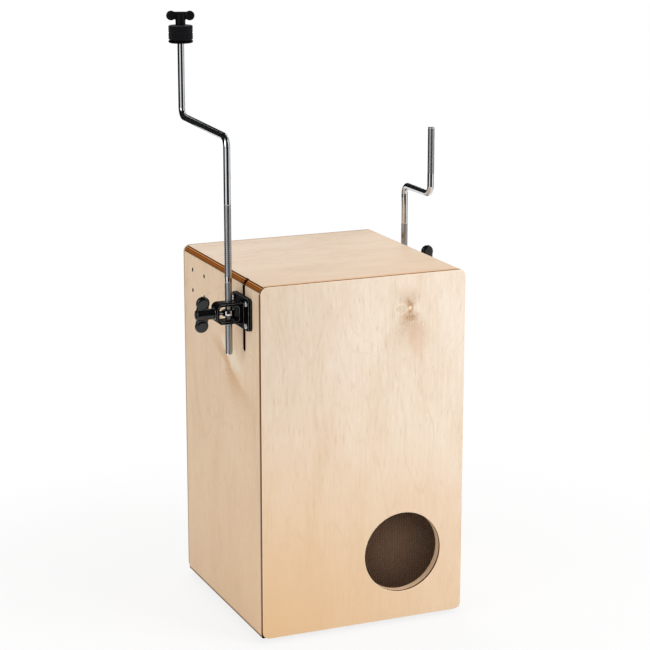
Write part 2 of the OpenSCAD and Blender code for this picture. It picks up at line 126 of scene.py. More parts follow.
class Signal:
    """An output socket that takes part in Python expressions."""

    def __init__(self, graph: "Graph", socket: Optional[bpy.types.NodeSocket]) -> None:
        """Keeps the socket and the graph that its sums go into."""
        self.graph = graph
        self.socket = socket

    def __add__(self, other: Value) -> "Signal":
        """Adds a value."""
        return self.graph.math("ADD", self, other)

    def __radd__(self, other: Value) -> "Signal":
        """Adds to a value."""
        return self.graph.math("ADD", other, self)

    def __sub__(self, other: Value) -> "Signal":
        """Takes a value away."""
        return self.graph.math("SUBTRACT", self, other)

    def __rsub__(self, other: Value) -> "Signal":
        """Is taken from a value."""
        return self.graph.math("SUBTRACT", other, self)

    def __mul__(self, other: Value) -> "Signal":
        """Multiplies by a value."""
        return self.graph.math("MULTIPLY", self, other)

    def __rmul__(self, other: Value) -> "Signal":
        """Multiplies a value."""
        return self.graph.math("MULTIPLY", other, self)

    def __truediv__(self, other: Value) -> "Signal":
        """Divides by a value."""
        return self.graph.math("DIVIDE", self, other)

    def __rtruediv__(self, other: Value) -> "Signal":
        """Divides a value."""
        return self.graph.math("DIVIDE", other, self)

    def __pow__(self, other: Value) -> "Signal":
        """Raises to a power."""
        return self.graph.math("POWER", self, other)

    def __abs__(self) -> "Signal":
        """Drops the sign."""
        return self.graph.math("ABSOLUTE", self, 0.0)

    def fraction(self) -> "Signal":
        """Keeps what follows the decimal point."""
        return self.graph.math("FRACT", self, 0.0)

    def ramp_between(self, low: float, high: float) -> "Signal":
        """Rises smoothly from 0 at low to 1 at high."""
        sockets = {"Value": self, "From Min": low, "From Max": high, "To Min": 0.0, "To Max": 1.0}
        return self.graph.add("ShaderNodeMapRange", {"interpolation_type": "SMOOTHSTEP"}, sockets)

    def fall_between(self, low: float, high: float) -> "Signal":
        """Falls smoothly from 1 at low to 0 at high."""
        return 1.0 - self.ramp_between(low, high)


def oval(run: Signal, rise: Signal, centre: Pair, half: Pair = (1.0, 1.0)) -> Signal:
    """Gives the squared distance from an oval's centre, counted in its half width and half height."""
    return ((run - centre[0]) / half[0]) ** 2.0 + ((rise - centre[1]) / half[1]) ** 2.0


def circle(steps: int, shift: float = 0.0) -> List[Pair]:
    """Gives the cosine and sine of each step once round."""
    turns = [2 * math.pi * (step + shift) / steps for step in range(steps)]
    return [(math.cos(turn), math.sin(turn)) for turn in turns]


class Graph:
    """Node tree that is written as Python expressions."""

    def __init__(self, tree: bpy.types.NodeTree) -> None:
        """Starts from an empty tree."""
        self.tree = tree
        self.tree.nodes.clear()

    def add(self, kind: str, settings: Dict[str, Any], sockets: Dict[str, Any], output: str = "") -> Signal:
        """Adds a node.

        Args:
            kind: Blender's name of the node type.
            settings: Its options, which are set first.
            sockets: A number, screen colour or signal for each socket, by name or identifier.
            output: Name or identifier of the output to take, or nothing for the first one.

        Returns:
            The output.
        """
        made = self.tree.nodes.new(kind)
        for key, value in settings.items():
            setattr(made, key, value)
        for key, value in sockets.items():
            socket = next(s for s in made.inputs if key in (s.identifier, s.name))
            if isinstance(value, Signal):
                self.tree.links.new(value.socket, socket)
            else:
                socket.default_value = linear(value) if socket.type == "RGBA" else value
        taken = [s for s in made.outputs if output in ("", s.identifier, s.name)]
        return Signal(self, taken[0] if taken else None)

    def math(self, operation: str, first: Value, second: Value) -> Signal:
        """Adds a Math node on two values."""
        return self.add("ShaderNodeMath", {"operation": operation}, {"Value": first, "Value_001": second})

    def mix(self, factor: Value, first: Paint, second: Paint, blend: str = "MIX") -> Signal:
        """Mixes two colours by the share of the second, in one of Blender's ways."""
        sockets = {"Factor_Float": factor, "A_Color": first, "B_Color": second}
        return self.add("ShaderNodeMix", {"data_type": "RGBA", "blend_type": blend}, sockets, "Result_Color")

    def ramp(self, value: Signal, stops: Sequence[Tuple[Any, ...]], steps: bool = False,
             output: str = "Color") -> Signal:
        """Looks a value up in a row of colours.

        Args:
            value: Place on the ramp, from 0 to 1.
            stops: A place, a colour and, where it isn't 1, an alpha for each stop.
            steps: Whether each colour holds up to the next stop.
            output: Color or Alpha.

        Returns:
            The chosen output.
        """
        made = self.add("ShaderNodeValToRGB", {}, {"Fac": value}, output)
        row = made.socket.node.color_ramp
        row.interpolation = "CONSTANT" if steps else "LINEAR"
        while len(row.elements) < len(stops):
            row.elements.new(1.0)
        for element, (place, *colour) in zip(row.elements, stops):
            element.position = place
            element.color = linear(*colour)
        return made

    def position(self) -> List[Signal]:
        """Gives the three coordinates of a surface point in the shared frame, in metres."""
        place = self.add("ShaderNodeTexCoord", {}, {}, "Object")
        return [self.add("ShaderNodeSeparateXYZ", {}, {"Vector": place}, axis.name) for axis in Axis]

    def noise(self, place: Sequence[Value], detail: float = 2.0, rough: float = 0.5) -> Signal:
        """Adds cloud noise round 0.5.

        Args:
            place: Three coordinates, in cells.
            detail: Number of finer layers.
            rough: Strength of the finer layers.

        Returns:
            The noise.
        """
        vector = self.add("ShaderNodeCombineXYZ", {}, dict(zip("XYZ", place)))
        sockets = {"Vector": vector, "Scale": 1.0, "Detail": detail, "Roughness": rough}
        return self.add("ShaderNodeTexNoise", {}, sockets)

    def speckle(self, cells: Point, detail: float = 2.0, rough: float = 0.5) -> Signal:
        """Adds cloud noise in the shared frame, with so many cells in a metre each way."""
        place = [part * count for part, count in zip(self.position(), cells)]
        return self.noise(place, detail, rough)

    def seen(self) -> Signal:
        """Gives 1 for rays that see the background directly or in a mirror."""
        rays = [self.add("ShaderNodeLightPath", {}, {}, f"Is {kind} Ray") for kind in SEEING_RAYS]
        return self.math("MINIMUM", sum(rays), 1.0)

    def bump(self, height: Signal, depth: float, strength: float = 1.0) -> Signal:
        """Turns a height from 0 to 1 into a surface normal, for a depth in metres."""
        return self.add("ShaderNodeBump", {}, {"Height": height, "Distance": depth, "Strength": strength})

    def surface(self, sockets: Dict[str, Any]) -> Signal:
        """Adds the surface shader with the given sockets."""
        return self.add("ShaderNodeBsdfPrincipled", {}, sockets)

    def blend(self, share: Signal, first: Signal, second: Signal) -> Signal:
        """Mixes two shaders by the share of the second."""
        return self.add("ShaderNodeMixShader", {}, {"Fac": share, "Shader": first, "Shader_001": second})

    def finish(self, shader: Signal, kind: str = "ShaderNodeOutputMaterial") -> None:
        """Sends a shader to the tree's output."""
        self.add(kind, {}, {"Surface": shader})


@dataclass(frozen=True)
class Finish:
    """A finish that makes its material once, under its own name."""

    name: str

    def material(self) -> bpy.types.Material:
        """Gives the finish's material.

        Returns:
            The material, which the first call makes.
        """
        made = bpy.data.materials.get(self.name)
        if made is None:
            made = bpy.data.materials.new(self.name)
            made.use_nodes = True
            graph = Graph(made.node_tree)
            graph.finish(self.paint(graph))
        return made

    def paint(self, graph: Graph) -> Signal:
        """Writes the finish's nodes and gives its shader; each finish has its own."""
        raise NotImplementedError


@dataclass
class Board:
    """Coordinates of one plywood sheet in metres, and the figure that every sheet has."""

    graph: Graph
    across: Signal
    along: Signal
    depth: Signal
    level: Signal
    seed: float
    broad: Signal = field(init=False)
    streak: Signal = field(init=False)
    pore: Signal = field(init=False)

    def __post_init__(self) -> None:
        """Lays the wide soft figure, the narrow streaks and the fine pores."""
        self.broad = self.figure(0.0, (20.0, 6.0), 3.0)
        self.streak = self.figure(3.0, (170.0, 15.0), 4.0, 0.6)
        self.pore = self.figure(7.0, (1500.0, 60.0))

    def figure(self, shift: float, cells: Pair, detail: float = 2.0, rough: float = 0.5) -> Signal:
        """Adds noise with so many cells in a metre across and along the grain, and with its own seed."""
        place = (self.across * cells[0], self.along * cells[1], self.seed + shift)
        return self.graph.noise(place, detail, rough)


@dataclass(frozen=True)
class Knot:
    """Small knot in a veneer, with darker wood that fans out above and below it."""

    across: float
    along: float
    waist: float
    spread: float
    above: float
    below: float
    lean: float
    strength: float
    tone: Rgb = (184, 142, 98)
    has_eye: bool = False
    reach: Pair = (45 * MM, 35 * MM)

    def nearness(self, board: Board) -> Signal:
        """Gives 1 at the knot, falling off all round it."""
        far = oval(board.across, board.along, (self.across, self.along), self.reach)
        return 1.0 / (1.0 + far * far)

    def paint(self, board: Board, colour: Signal) -> Signal:
        """Adds the knot to a face.

        Args:
            board: Sheet that it is in.
            colour: The face without it.

        Returns:
            The face with it.
        """
        mix = board.graph.mix
        wander = board.figure(29.0, (130.0, 80.0), 4.0, 0.65) - 0.5
        ripple = board.figure(37.0, (520.0, 200.0), 4.0, 0.7).ramp_between(0.34, 0.64)
        rise = board.along - self.along
        run = board.across - self.across - rise * self.lean + wander * 0.012
        rise = rise + wander * 0.008
        fan = (abs(run) / (abs(rise) * self.spread + self.waist)).fall_between(0.2, 1.3)
        reach = rise.fall_between(0.0, self.above) * (0.0 - rise).fall_between(0.0, self.below)
        colour = mix(fan * reach * (0.4 + ripple * 0.6) * self.strength, colour, self.tone)
        if not self.has_eye:
            ahead = 0.0 - run
            patch = ahead.ramp_between(0.010, 0.020) * ahead.fall_between(0.045, 0.075)
            patch = patch * rise.ramp_between(-0.008, 0.010) * rise.fall_between(0.020, 0.045)
            return mix(patch * 0.7, colour, KNOT_SIDE)
        tail = oval(run, rise, (0.008, -0.044), (0.016, 0.030)).fall_between(0.1, 1.0)
        band = oval(run, rise, (0.0, -0.014), (0.010, 0.005)).fall_between(0.0, 1.0)
        core = oval(run, rise, (0.0, 0.003), (0.005, 0.016)).fall_between(0.0, 1.0)
        apart = oval(run, rise, (-0.013, 0.0), (0.009, 0.006))
        spot = oval(run, rise, (0.0, 0.0), (0.0028, 0.0036)).fall_between(0.2, 1.0)
        marks = (
            (tail * 0.4, KNOT_TAIL),
            ((band + core) * (0.3 + ripple * 0.4), KNOT_CORE),
            (apart.fall_between(0.2, 0.9) * 0.35, KNOT_SCAR),
            (abs(apart - 1.2).fall_between(0.1, 0.6) * ripple * 0.6, KNOT_RIM),
            (spot * 0.9, KNOT_EYE),
        )
        for share, tone in marks:
            colour = mix(share, colour, tone)
        return colour


@dataclass(frozen=True)
class Veneer(Finish):
    """Birch plywood: a lacquered rotary-cut face, and layers that show wherever the sheet is cut.

    The layers are listed from the show face inwards as a share of the thickness, with a colour, and with
    0 for a layer that looks like the face or 1 for one that shows as a cut edge. The tones are the face's
    dark, middle and pale one.
    """

    grain: Axis
    through: Axis
    face: float
    inwards: int
    thickness: float
    layers: Layers
    seed: float
    tones: Tones = ((229, 205, 178), (241, 224, 204), (247, 234, 218))
    knots: Tuple[Knot, ...] = ()
    low_tint: float = 0.0
    tint_lean: float = 0.8
    left_tint: float = 0.0
    front_tint: float = 0.0
    half_length: float = 0.0
    rounding: float = 0.0
    # Strips along the front edge and the bottom stand in for the neighbouring plate's and panel's edges:
    # their own brown, painted darker on the shaded sides as painted shade and lighter orange on the lit top
    # as painted light.
    sill: float = 0.0
    sill_blur: float = 3.0 * MM
    edge_strip_from: float = 0.0
    edge_strip_blur: float = 1.0 * MM
    second_tone: Rgb = (116, 66, 6)
    # Place and size of the painted shade round the spare holes.
    spare: Optional[Pair] = None
    spare_half: Pair = (24 * MM, 15 * MM)
    spare_shade_reach: Pair = (2.6 * MM, 3.4 * MM)

    def paint(self, graph: Graph) -> Signal:
        """Writes the face's figure, the cut layers and the lacquer.

        Args:
            graph: Tree for the nodes.

        Returns:
            The shader.
        """
        place = graph.position()
        across, along = place[self.grain.third(self.through).value], place[self.grain.value]
        depth = (place[self.through.value] - self.face) * float(self.inwards)
        board = Board(graph, across, along, depth, place[Axis.Z.value], self.seed)
        share = depth / self.thickness + (board.streak - 0.5) * 0.03
        cut = graph.ramp(share, self.layers, True, "Alpha")
        fibre = graph.noise((across * 300.0, along * 300.0, depth * 2600.0), 3.0)
        layer = graph.mix(fibre * 0.4, graph.ramp(share, self.layers, True), CUT_FIBRE, "MULTIPLY")
        if self.rounding:
            # Painted shade: the groove's cut layers go near-black where it cuts deeper than the rounded end.
            layer = graph.mix(self._groove_shade_mask(board) * 0.9, layer, PAINTED_GROOVE_SHADE)
        normal = graph.bump(board.pore * 0.5 + board.streak * 0.3 + fibre * cut * 0.6, 0.12 * MM, 0.5)
        lacquered = graph.surface({
            "Base Color": self._shaded(board, self._figured(board)),
            "Roughness": 0.46 + (board.streak - 0.5) * 0.14 + (board.broad - 0.5) * 0.1,
            "Normal": normal,
            "Specular IOR Level": 0.22,
        })
        sawn = graph.surface({
            "Base Color": layer,
            "Roughness": 0.66 + (fibre - 0.5) * 0.1,
            "Normal": normal,
            "Specular IOR Level": 0.02,
        })
        return graph.blend(cut, lacquered, sawn)

    def _groove_shade_mask(self, board: Board) -> Signal:
        """Gives 1 in what is cut deeper than the sheet's rounded ends, where the groove's painted shade
        goes, and 0 on the rounding.
        """
        reach = oval(abs(board.along), board.depth, (self.half_length - self.rounding, self.rounding)) ** 0.5
        return reach.fall_between(self.rounding - 1.6 * MM, self.rounding - 0.6 * MM)

    def _figured(self, board: Board) -> Signal:
        """Colours the face with its figure, flecks and knots.

        Args:
            board: Sheet that is coloured.

        Returns:
            The face's colour.
        """
        mix, streak = board.graph.mix, board.streak
        tone = 0.5 + (board.broad - 0.5) * 0.8 + (streak - 0.5) * 0.6 + (board.pore - 0.5) * 0.35
        colour = board.graph.ramp(tone, list(zip((0.2, 0.5, 0.8), self.tones)))
        blush = board.figure(23.0, (13.0, 9.0), 3.0, 0.6).ramp_between(0.38, 0.66)
        colour = mix(blush * 0.2, colour, BLUSH)
        growth = board.figure(11.0, (8.0, 2.4)) * 8.0 + streak * 0.3
        for knot in self.knots:
            growth = growth + knot.nearness(board) * (board.along * 45.0 + 3.0)
        line = abs(growth.fraction() - 0.5).ramp_between(0.42, 0.5) * streak.ramp_between(0.4, 0.62)
        colour = mix(line * 0.26, colour, GROWTH_LINE)
        dash = board.figure(17.0, (340.0, 48.0))
        colour = mix(dash.ramp_between(0.58, 0.72) * 0.22, colour, DARK_FLECK)
        colour = mix((1.0 - dash).ramp_between(0.58, 0.72) * 0.35, colour, PALE_FLECK)
        for knot in self.knots:
            colour = knot.paint(board, colour)
        return colour

    def _shaded(self, board: Board, colour: Signal) -> Signal:
        """Tints the face towards one side and the bottom, and paints its edge strips and painted shade round
        its spare holes.

        Args:
            board: Sheet that is coloured.
            colour: The face so far.

        Returns:
            The face with its shades.
        """
        mix, across, level = board.graph.mix, board.across, board.level
        if self.left_tint:
            share = across.fall_between(-0.15, 0.04) * level.ramp_between(0.1, 0.45)
            colour = mix(share * self.left_tint, colour, GREY_SHADE)
        if self.low_tint:
            share = level.fall_between(0.0, 0.42) * (self.low_tint - across * self.tint_lean)
            colour = mix(share, colour, HONEY_SHADE)
        if self.front_tint:
            share = across.fall_between(-0.15, 0.1) + board.along.ramp_between(-0.05, 0.15) * 0.5
            colour = mix(share * self.front_tint, colour, AMBER_SHADE)
        # Painted edge strips: dark on the sides as painted shade and lighter on the top as painted light,
        # over the edges' own brown.
        if self.edge_strip_from:
            ragged = (board.streak - 0.5) * MM
            low = (level + ragged).fall_between(self.sill, self.sill + self.sill_blur)
            end = (ragged - across).ramp_between(self.edge_strip_from, self.edge_strip_from + self.edge_strip_blur)
            colour = mix(board.graph.math("MAXIMUM", low, end) * 0.9, colour, self.second_tone)
        # Painted shade round the spare holes, which makes them look darker and larger.
        if self.spare:
            beside, over = abs(across - self.spare[0]), abs(board.along - self.spare[1])
            rim = (oval(beside, over, self.spare_half) ** 0.5).fall_between(*self.spare_shade_reach)
            colour = mix(rim, colour, PAINTED_HOLE_SHADE)
        return colour


@dataclass(frozen=True)
class RawWood(Finish):
    """Bare solid wood with its grain along one direction."""

    grain: Axis
    pale: Rgb = (226, 200, 163)
    dark: Rgb = (188, 152, 108)

    def paint(self, graph: Graph) -> Signal:
        """Writes the growth lines and the fibre.

        Args:
            graph: Tree for the nodes.

        Returns:
            The shader.
        """
        line = graph.speckle(tuple(34.0 if axis is self.grain else 420.0 for axis in Axis), 4.0, 0.6)
        fibre = graph.speckle((900.0,) * 3)
        tone = line * 0.75 + fibre * 0.25
        return graph.surface({
            "Base Color": graph.ramp(tone, [(0.3, self.dark), (0.68, self.pale)]),
            "Roughness": 0.62 + (fibre - 0.5) * 0.2,
            "Normal": graph.bump(tone, 0.2 * MM, 0.5),
            "Specular IOR Level": 0.1,
        })


@dataclass(frozen=True)
class PlatedMetal(Finish):
    """Plated steel with faint polishing marks."""

    colour: Rgb
    roughness: float
    marks: float

    def paint(self, graph: Graph) -> Signal:
        """Writes the plating and its polishing marks.

        Args:
            graph: Tree for the nodes.

        Returns:
            The shader.
        """
        mark = graph.speckle((2600.0, 2600.0, 90.0), 3.0)
        cloud = graph.speckle((60.0,) * 3)
        shade = tuple(int(c * 0.86) for c in self.colour)
        return graph.surface({
            "Base Color": graph.mix(cloud, self.colour, shade),
            "Metallic": 1.0,
            "Roughness": self.roughness + (mark - 0.5) * self.marks + (cloud - 0.5) * 0.05,
            "Normal": graph.bump(mark, 0.01 * MM, 0.4),
        })


@dataclass(frozen=True)
class KnurledMetal(Finish):
    """Knurled and plated steel: bright crests over dull valleys, as the mesh's valley attribute says."""

    crest: Rgb = (206, 208, 211)
    valley: Rgb = (92, 94, 98)

    def paint(self, graph: Graph) -> Signal:
        """Writes the crests and valleys.

        Args:
            graph: Tree for the nodes.

        Returns:
            The shader.
        """
        valley = graph.add("ShaderNodeAttribute", {"attribute_name": "valley"}, {}, "Fac")
        grit = graph.speckle((3000.0,) * 3)
        return graph.surface({
            "Base Color": graph.mix(valley, self.crest, self.valley),
            "Metallic": 1.0,
            "Roughness": 0.26 + valley * 0.16 + (grit - 0.5) * 0.12,
            "Normal": graph.bump(grit, 0.02 * MM, 0.5),
        })


@dataclass(frozen=True)
class BlackCoat(Finish):
    """Black coat on a casting, with a fine orange peel and a trace of dust."""

    colour: Rgb
    second_tone: Rgb
    roughness: float = 0.3
    peel: float = 900.0
    gloss: float = 0.1
    sheen: float = 0.04

    def paint(self, graph: Graph) -> Signal:
        """Writes the coat's peel, its uneven gloss and its sheen.

        Args:
            graph: Tree for the nodes.

        Returns:
            The shader.
        """
        peel = graph.speckle((self.peel,) * 3)
        cloud = graph.speckle((70.0,) * 3, 4.0, 0.6)
        speck = graph.speckle((2200.0,) * 3, 1.0).ramp_between(0.66, 0.76)
        colour = graph.mix(cloud, self.colour, self.second_tone)
        return graph.surface({
            "Base Color": graph.mix(speck * 0.12, colour, DUST),
            "Roughness": self.roughness + (cloud - 0.5) * 0.2 + (peel - 0.5) * 0.1,
            "Normal": graph.bump(peel, 0.06 * MM, 0.6),
            "Specular IOR Level": self.gloss,
            "Sheen Weight": self.sheen,
            "Sheen Roughness": 0.3,
        })


@dataclass(frozen=True)
class Rubber(Finish):
    """Matt black rubber or nylon."""

    colour: Rgb = (20, 20, 21)
    roughness: float = 0.74

    def paint(self, graph: Graph) -> Signal:
        """Writes the moulded grain.

        Args:
            graph: Tree for the nodes.

        Returns:
            The shader.
        """
        grain = graph.speckle((1800.0,) * 3, 3.0)
        cloud = graph.speckle((90.0,) * 3, 3.0)
        pale = tuple(c + 16 for c in self.colour)
        return graph.surface({
            "Base Color": graph.mix(cloud * 0.7 + grain * 0.3, self.colour, pale),
            "Roughness": self.roughness + (grain - 0.5) * 0.2,
            "Normal": graph.bump(grain, 0.08 * MM, 0.6),
            "Specular IOR Level": 0.25,
        })


@dataclass(frozen=True)
class WoolFelt(Finish):
    """Pressed black wool felt."""

    colour: Rgb = (9, 9, 11)
    fibre: Rgb = (35, 34, 40)

    def paint(self, graph: Graph) -> Signal:
        """Writes the tangled fibres.

        Args:
            graph: Tree for the nodes.

        Returns:
            The shader.
        """
        lump = graph.speckle((380.0, 380.0, 600.0), 4.0, 0.65)
        strand = graph.speckle((1900.0, 1900.0, 3600.0), 3.0, 0.6)
        stray = strand.ramp_between(0.54, 0.72)
        return graph.surface({
            "Base Color": graph.mix(stray * 0.6 + lump * 0.25, self.colour, self.fibre),
            "Roughness": 0.9 + (lump - 0.5) * 0.15,
            "Normal": graph.bump(lump * 0.5 + strand * 0.5, 0.4 * MM, 0.8),
            "Specular IOR Level": 0.1,
            "Sheen Weight": 0.08,
            "Sheen Roughness": 0.5,
        })


@dataclass(frozen=True)
class WireCoat(Finish):
    """Dark brown coat of the port's woven wire, painted lighter round the port's middle as painted light."""

    painted_light_centre: Pair
    painted_light_reach: float
    colour: Rgb = (60, 40, 23)
    second_tone: Rgb = (154, 120, 95)

    def paint(self, graph: Graph) -> Signal:
        """Writes the coat, the scuffed crowns of the wires and the painted light round the port's middle.

        Args:
            graph: Tree for the nodes.

        Returns:
            The shader.
        """
        x, _, z = graph.position()
        cloud = graph.speckle((140.0,) * 3, 4.0, 0.6)
        grit = graph.speckle((2400.0,) * 3)
        # Painted light: the wire is lighter round the port's middle, where light falls in through the port.
        painted_light = (oval(x, z, self.painted_light_centre) ** 0.5).fall_between(0.0, self.painted_light_reach)
        share = cloud * 0.2 + grit * 0.3 + painted_light * 0.5
        return graph.surface({
            "Base Color": graph.mix(share, self.colour, self.second_tone),
            "Roughness": 0.52 + (grit - 0.5) * 0.3,
            "Metallic": 0.2,
            "Normal": graph.bump(grit, 0.04 * MM, 0.5),
        })


@dataclass(frozen=True)
class FloorPaint(Finish):
    """Pale floor that keeps the object's soft shadow and fades into the surround."""

    pale: Rgb = (246, 246, 246)
    dark: Rgb = (242, 242, 242)
    fade: Pair = (0.05, 0.6)
    glow: float = 0.82

    def paint(self, graph: Graph) -> Signal:
        """Writes the floor's paint, and the white that it fades into.

        Args:
            graph: Tree for the nodes.

        Returns:
            The shader.
        """
        x, y, _ = graph.position()
        tone = graph.mix(graph.speckle((2.0,) * 3), self.pale, self.dark)
        paint = graph.add("ShaderNodeBsdfDiffuse", {}, {"Color": tone})
        white = graph.add("ShaderNodeEmission", {}, {"Color": WHITE, "Strength": 1.0})
        away = oval(x, y, (0.0, 0.0)).ramp_between(*self.fade)
        return graph.blend(graph.seen() * (self.glow + away * (1.0 - self.glow)), paint, white)


CHROME = PlatedMetal("chrome_plate", (226, 228, 231), 0.05, 0.04)
ZINC = PlatedMetal("zinc_plate", (196, 198, 202), 0.24, 0.2)
BRIGHT_ZINC = PlatedMetal("bright_zinc_plate", (238, 240, 242), 0.34, 0.2)
KNURL = KnurledMetal("knurled_chrome")
CASTING = BlackCoat("black_casting_coat", (6, 6, 6), (13, 13, 13), 0.4, gloss=0.02, sheen=0.0)
WING_COAT = BlackCoat("black_wing_coat", (7, 7, 6), (15, 14, 13), 0.18, 1500.0, 0.5, 0.0)
CAP_COAT = BlackCoat("black_cap_coat", (9, 9, 9), (18, 18, 18), 0.4, 1500.0)
# Light grey for the bracket's broken edges: a painted highlight along the black casting's edges.
CASTING_EDGE_HIGHLIGHT = BlackCoat("rubbed_casting_edge", (165, 165, 167), (205, 205, 207))
RUBBER = Rubber("black_rubber")
NYLON = Rubber("black_nylon", (34, 34, 36), 0.5)
FELT = WoolFelt("black_felt")
# The wire's lighter patch round the port's middle is painted light.
WIRE = WireCoat("woven_wire_coat", (46 * MM, 112 * MM), 62 * MM)
FLOOR = FloorPaint("pale_floor")


def modify(piece: bpy.types.Object, name: str, kind: str, **settings: Any) -> bpy.types.Modifier:
    """Adds a modifier to an object.

    Args:
        piece: The object.
        name: Name of the modifier.
        kind: Blender's name of its type.
        settings: Its options.

    Returns:
        The modifier.
    """
    made = piece.modifiers.new(name, kind)
    for key, value in settings.items():
        setattr(made, key, value)
    return made


def dress(node: str, finish: Finish, edge: float = 0.0, painted_highlight: Optional[Finish] = None) -> None:
    """Gives a CAD node its finish, and breaks its sharp edges.

    Args:
        node: Name of the node.
        finish: Finish for all of it.
        edge: Width of the broken edges in metres, or 0 for none.
        painted_highlight: Finish of the broken edges, if it is another one: a paler one that paints a
            highlight along them.
    """
    piece = frame["nodes"][node]
    for slot in piece.material_slots:
        slot.material = finish.material()
    if edge:
        modify(piece, "weld", "WELD", merge_threshold=WELD_GAP)
        modify(piece, "flat_faces", "DECIMATE", decimate_type="DISSOLVE", angle_limit=FLAT_ANGLE)
        soft = modify(piece, "broken_edges", "BEVEL", width=edge, segments=3, limit_method="ANGLE",
                      angle_limit=SHARP_ANGLE, use_clamp_overlap=True)
        # The bevel faces take the paler finish, which paints a highlight along the edges.
        if painted_highlight:
            piece.data.materials.append(painted_highlight.material())
            soft.material = len(piece.material_slots) - 1
        modify(piece, "even_shading", "WEIGHTED_NORMAL")
    LOG.info("dressed %s in %s", node, finish.name)


def joint_place(name: str) -> Vector:
    """Gives the place of a joint's axis in the shared frame."""
    return Vector(next(joint["pos_m"] for joint in frame["joints"] if joint["name"] == name))


def place_piece(piece: bpy.types.Object, body: str, slot: str, *nodes: str) -> None:
    """Puts a built piece on its body, in place of its CAD nodes.

    Args:
        piece: The built piece.
        body: Body that it moves with.
        slot: Material slot of the record; not used.
        nodes: CAD nodes that it stands for.
    """
    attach(piece, body)
    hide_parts(*nodes)
    LOG.info("built %s on %s, for %s", piece.name, body, ", ".join(nodes))


def add_object(name: str, data: bpy.types.ID) -> bpy.types.Object:
    """Adds an object to the scene.

    Args:
        name: Name of the object.
        data: Its mesh, lamp or camera.

    Returns:
        The new object.
    """
    made = bpy.data.objects.new(name, data)
    bpy.context.scene.collection.objects.link(made)
    return made


@dataclass
class Draft:
    """Points and faces of a mesh that is being drawn in the shared frame."""

    points: List[Point] = field(default_factory=list)
    faces: List[Tuple[int, ...]] = field(default_factory=list)

    def tube(self, rings: Iterable[Ring], closed: bool = False, capped: bool = False) -> None:
        """Adds rings of points, and joins them with four-sided faces.

        Args:
            rings: The rings, with as many points in each.
            closed: Whether the last ring joins the first.
            capped: Whether a face closes each end.
        """
        numbers: List[range] = []
        for ring in rings:
            numbers.append(range(len(self.points), len(self.points) + len(ring)))
            self.points += ring
        for here, there in zip(numbers, numbers[1:] + numbers[:int(closed)]):
            for k, after in enumerate((*range(1, len(here)), 0)):
                self.faces.append((here[k], here[after], there[after], there[k]))
        if capped:
            self.faces += [tuple(reversed(numbers[0])), tuple(numbers[-1])]

    def piece(self, name: str, *finishes: Finish) -> bpy.types.Object:
        """Makes an object of what is drawn.

        Args:
            name: Name of the object.
            finishes: One finish for each material number.

        Returns:
            The new object, with smooth shading.
        """
        mesh = bpy.data.meshes.new(name)
        mesh.from_pydata(self.points, [], self.faces)
        mesh.update()
        mesh.polygons.foreach_set("use_smooth", [True] * len(mesh.polygons))
        for finish in finishes:
            mesh.materials.append(finish.material())
        return add_object(name, mesh)


def cast_copy(node: str, name: str, finish: Finish, voxel: float, passes: int) -> bpy.types.Object:
    """Copies a CAD node as a casting, with its inner corners filled and its edges rounded.

    Args:
        node: Name of the node.
        name: Name of the new object.
        finish: Its finish.
        voxel: Size of the grid that the shape is cast on, in metres.
        passes: Number of smoothing passes.

    Returns:
        The new object.
    """
    rough = add_object(f"{name}_rough", frame["nodes"][node].data.copy())
    modify(rough, "weld", "WELD", merge_threshold=WELD_GAP)
    modify(rough, "grid", "REMESH", mode="VOXEL", voxel_size=voxel)
    modify(rough, "round", "SMOOTH", factor=0.5, iterations=passes)
    bpy.context.view_layer.update()
    shape = rough.evaluated_get(bpy.context.evaluated_depsgraph_get()).to_mesh()
    draft = Draft([tuple(v.co) for v in shape.vertices], [tuple(p.vertices) for p in shape.polygons])
    bpy.data.objects.remove(rough)
    return draft.piece(name, finish)


def sheet(back: float, *cuts: Tuple[float, Rgb]) -> Layers:
    """Lists a sheet's layers: its face, the cut ones by start and colour, and its back from a share on."""
    return ((0.0, FACE_WOOD, 0.0), *((start, tone, 1.0) for start, tone in cuts), (back, FACE_WOOD, 0.0))


